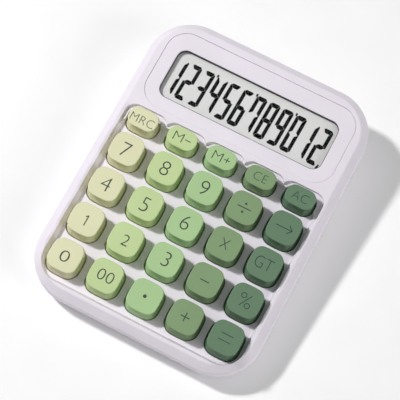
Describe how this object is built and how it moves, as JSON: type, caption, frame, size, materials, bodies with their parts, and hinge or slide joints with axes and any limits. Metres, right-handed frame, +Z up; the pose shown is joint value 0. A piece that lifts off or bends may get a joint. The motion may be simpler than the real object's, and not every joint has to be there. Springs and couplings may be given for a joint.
{
  "type": "desk calculator",
  "caption": "Wedge-shaped desk calculator with a recessed display window, a sunken key well with an arched back edge, and raised keys graded from cream to green.",
  "frame": {"origin": "on the table under the middle of the calculator's box", "axes": "+X right as the user sees it, +Y back towards the display, +Z up"},
  "size_m": [0.119, 0.1566, 0.0303],
  "materials": {
    "case_plastic": "fine matte moulded plastic, pale lilac white",
    "key_cream": "satin moulded plastic, cream yellow",
    "key_lime": "satin moulded plastic, pale lime",
    "key_mint": "satin moulded plastic, soft green",
    "key_sage": "satin moulded plastic, sage green",
    "key_fern": "satin moulded plastic, grey green",
    "window": "clear polished plastic lens",
    "lcd": "grey reflective liquid crystal glass",
    "frame_plastic": "plain moulded plastic, white",
    "ribbon": "amber film with printed lines",
    "keypad_rubber": "translucent grey silicone rubber",
    "board": "glass fibre laminate with green mask",
    "resin": "black potting resin",
    "steel": "plated steel",
    "spring_steel": "nickel plated spring steel",
    "cell_jacket": null,
    "lead_red": "red wire insulation",
    "lead_black": "black wire insulation",
    "foot_rubber": "soft dark grey rubber"
  },
  "bodies": {
    "case": {"upper_case": "case_plastic", "lower_case": "case_plastic", "display_bezel": "case_plastic", "display_window": "window", "lcd_panel": "lcd", "lcd_frame": "frame_plastic", "lcd_ribbon": "ribbon", "rubber_keypad": "keypad_rubber", "circuit_board": "board", "chip_cover": "resin", "board_screws": "steel", "case_screws": "steel", "battery": "cell_jacket", "battery_contact_positive": "spring_steel", "battery_contact_negative": "spring_steel", "battery_lead_positive": "lead_red", "battery_lead_negative": "lead_black", "foot_front_left": "foot_rubber", "foot_front_right": "foot_rubber", "foot_back_left": "foot_rubber", "foot_back_right": "foot_rubber"},
    "key_mrc": {"key_mrc": "key_cream"},
    "key_m_minus": {"key_m_minus": "key_lime"},
    "key_m_plus": {"key_m_plus": "key_mint"},
    "key_ce": {"key_ce": "key_sage"},
    "key_ac": {"key_ac": "key_fern"},
    "key_7": {"key_7": "key_cream"},
    "key_8": {"key_8": "key_lime"},
    "key_9": {"key_9": "key_mint"},
    "key_divide": {"key_divide": "key_sage"},
    "key_shift": {"key_shift": "key_fern"},
    "key_4": {"key_4": "key_cream"},
    "key_5": {"key_5": "key_lime"},
    "key_6": {"key_6": "key_mint"},
    "key_times": {"key_times": "key_sage"},
    "key_gt": {"key_gt": "key_fern"},
    "key_1": {"key_1": "key_cream"},
    "key_2": {"key_2": "key_lime"},
    "key_3": {"key_3": "key_mint"},
    "key_minus": {"key_minus": "key_sage"},
    "key_percent": {"key_percent": "key_fern"},
    "key_0": {"key_0": "key_cream"},
    "key_00": {"key_00": "key_lime"},
    "key_point": {"key_point": "key_mint"},
    "key_plus": {"key_plus": "key_sage"},
    "key_equals": {"key_equals": "key_fern"},
    "battery_door": {"battery_door": "case_plastic"}
  },
  "joints": [
    {"name": "key_mrc_press", "type": "slide", "parent": "case", "child": "key_mrc", "axis": [0, 0.0872, -0.9962], "range_m": [0, 0.0025], "stiffness_N_per_m": 160, "springref_m": -0.002, "deforming": ["rubber_keypad"]},
    {"name": "key_m_minus_press", "type": "slide", "parent": "case", "child": "key_m_minus", "axis": [0, 0.0872, -0.9962], "range_m": [0, 0.0025], "stiffness_N_per_m": 160, "springref_m": -0.002, "deforming": ["rubber_keypad"]},
    {"name": "key_m_plus_press", "type": "slide", "parent": "case", "child": "key_m_plus", "axis": [0, 0.0872, -0.9962], "range_m": [0, 0.0025], "stiffness_N_per_m": 160, "springref_m": -0.002, "deforming": ["rubber_keypad"]},
    {"name": "key_ce_press", "type": "slide", "parent": "case", "child": "key_ce", "axis": [0, 0.0872, -0.9962], "range_m": [0, 0.0025], "stiffness_N_per_m": 160, "springref_m": -0.002, "deforming": ["rubber_keypad"]},
    {"name": "key_ac_press", "type": "slide", "parent": "case", "child": "key_ac", "axis": [0, 0.0872, -0.9962], "range_m": [0, 0.0025], "stiffness_N_per_m": 160, "springref_m": -0.002, "deforming": ["rubber_keypad"]},
    {"name": "key_7_press", "type": "slide", "parent": "case", "child": "key_7", "axis": [0, 0.0872, -0.9962], "range_m": [0, 0.0025], "stiffness_N_per_m": 160, "springref_m": -0.002, "deforming": ["rubber_keypad"]},
    {"name": "key_8_press", "type": "slide", "parent": "case", "child": "key_8", "axis": [0, 0.0872, -0.9962], "range_m": [0, 0.0025], "stiffness_N_per_m": 160, "springref_m": -0.002, "deforming": ["rubber_keypad"]},
    {"name": "key_9_press", "type": "slide", "parent": "case", "child": "key_9", "axis": [0, 0.0872, -0.9962], "range_m": [0, 0.0025], "stiffness_N_per_m": 160, "springref_m": -0.002, "deforming": ["rubber_keypad"]},
    {"name": "key_divide_press", "type": "slide", "parent": "case", "child": "key_divide", "axis": [0, 0.0872, -0.9962], "range_m": [0, 0.0025], "stiffness_N_per_m": 160, "springref_m": -0.002, "deforming": ["rubber_keypad"]},
    {"name": "key_shift_press", "type": "slide", "parent": "case", "child": "key_shift", "axis": [0, 0.0872, -0.9962], "range_m": [0, 0.0025], "stiffness_N_per_m": 160, "springref_m": -0.002, "deforming": ["rubber_keypad"]},
    {"name": "key_4_press", "type": "slide", "parent": "case", "child": "key_4", "axis": [0, 0.0872, -0.9962], "range_m": [0, 0.0025], "stiffness_N_per_m": 160, "springref_m": -0.002, "deforming": ["rubber_keypad"]},
    {"name": "key_5_press", "type": "slide", "parent": "case", "child": "key_5", "axis": [0, 0.0872, -0.9962], "range_m": [0, 0.0025], "stiffness_N_per_m": 160, "springref_m": -0.002, "deforming": ["rubber_keypad"]},
    {"name": "key_6_press", "type": "slide", "parent": "case", "child": "key_6", "axis": [0, 0.0872, -0.9962], "range_m": [0, 0.0025], "stiffness_N_per_m": 160, "springref_m": -0.002, "deforming": ["rubber_keypad"]},
    {"name": "key_times_press", "type": "slide", "parent": "case", "child": "key_times", "axis": [0, 0.0872, -0.9962], "range_m": [0, 0.0025], "stiffness_N_per_m": 160, "springref_m": -0.002, "deforming": ["rubber_keypad"]},
    {"name": "key_gt_press", "type": "slide", "parent": "case", "child": "key_gt", "axis": [0, 0.0872, -0.9962], "range_m": [0, 0.0025], "stiffness_N_per_m": 160, "springref_m": -0.002, "deforming": ["rubber_keypad"]},
    {"name": "key_1_press", "type": "slide", "parent": "case", "child": "key_1", "axis": [0, 0.0872, -0.9962], "range_m": [0, 0.0025], "stiffness_N_per_m": 160, "springref_m": -0.002, "deforming": ["rubber_keypad"]},
    {"name": "key_2_press", "type": "slide", "parent": "case", "child": "key_2", "axis": [0, 0.0872, -0.9962], "range_m": [0, 0.0025], "stiffness_N_per_m": 160, "springref_m": -0.002, "deforming": ["rubber_keypad"]},
    {"name": "key_3_press", "type": "slide", "parent": "case", "child": "key_3", "axis": [0, 0.0872, -0.9962], "range_m": [0, 0.0025], "stiffness_N_per_m": 160, "springref_m": -0.002, "deforming": ["rubber_keypad"]},
    {"name": "key_minus_press", "type": "slide", "parent": "case", "child": "key_minus", "axis": [0, 0.0872, -0.9962], "range_m": [0, 0.0025], "stiffness_N_per_m": 160, "springref_m": -0.002, "deforming": ["rubber_keypad"]},
    {"name": "key_percent_press", "type": "slide", "parent": "case", "child": "key_percent", "axis": [0, 0.0872, -0.9962], "range_m": [0, 0.0025], "stiffness_N_per_m": 160, "springref_m": -0.002, "deforming": ["rubber_keypad"]},
    {"name": "key_0_press", "type": "slide", "parent": "case", "child": "key_0", "axis": [0, 0.0872, -0.9962], "range_m": [0, 0.0025], "stiffness_N_per_m": 160, "springref_m": -0.002, "deforming": ["rubber_keypad"]},
    {"name": "key_00_press", "type": "slide", "parent": "case", "child": "key_00", "axis": [0, 0.0872, -0.9962], "range_m": [0, 0.0025], "stiffness_N_per_m": 160, "springref_m": -0.002, "deforming": ["rubber_keypad"]},
    {"name": "key_point_press", "type": "slide", "parent": "case", "child": "key_point", "axis": [0, 0.0872, -0.9962], "range_m": [0, 0.0025], "stiffness_N_per_m": 160, "springref_m": -0.002, "deforming": ["rubber_keypad"]},
    {"name": "key_plus_press", "type": "slide", "parent": "case", "child": "key_plus", "axis": [0, 0.0872, -0.9962], "range_m": [0, 0.0025], "stiffness_N_per_m": 160, "springref_m": -0.002, "deforming": ["rubber_keypad"]},
    {"name": "key_equals_press", "type": "slide", "parent": "case", "child": "key_equals", "axis": [0, 0.0872, -0.9962], "range_m": [0, 0.0025], "stiffness_N_per_m": 160, "springref_m": -0.002, "deforming": ["rubber_keypad"]},
    {"name": "battery_door_slide", "type": "slide", "parent": "case", "child": "battery_door", "axis": [0, 1, 0], "range_m": [0, 0.03]}
  ]
}
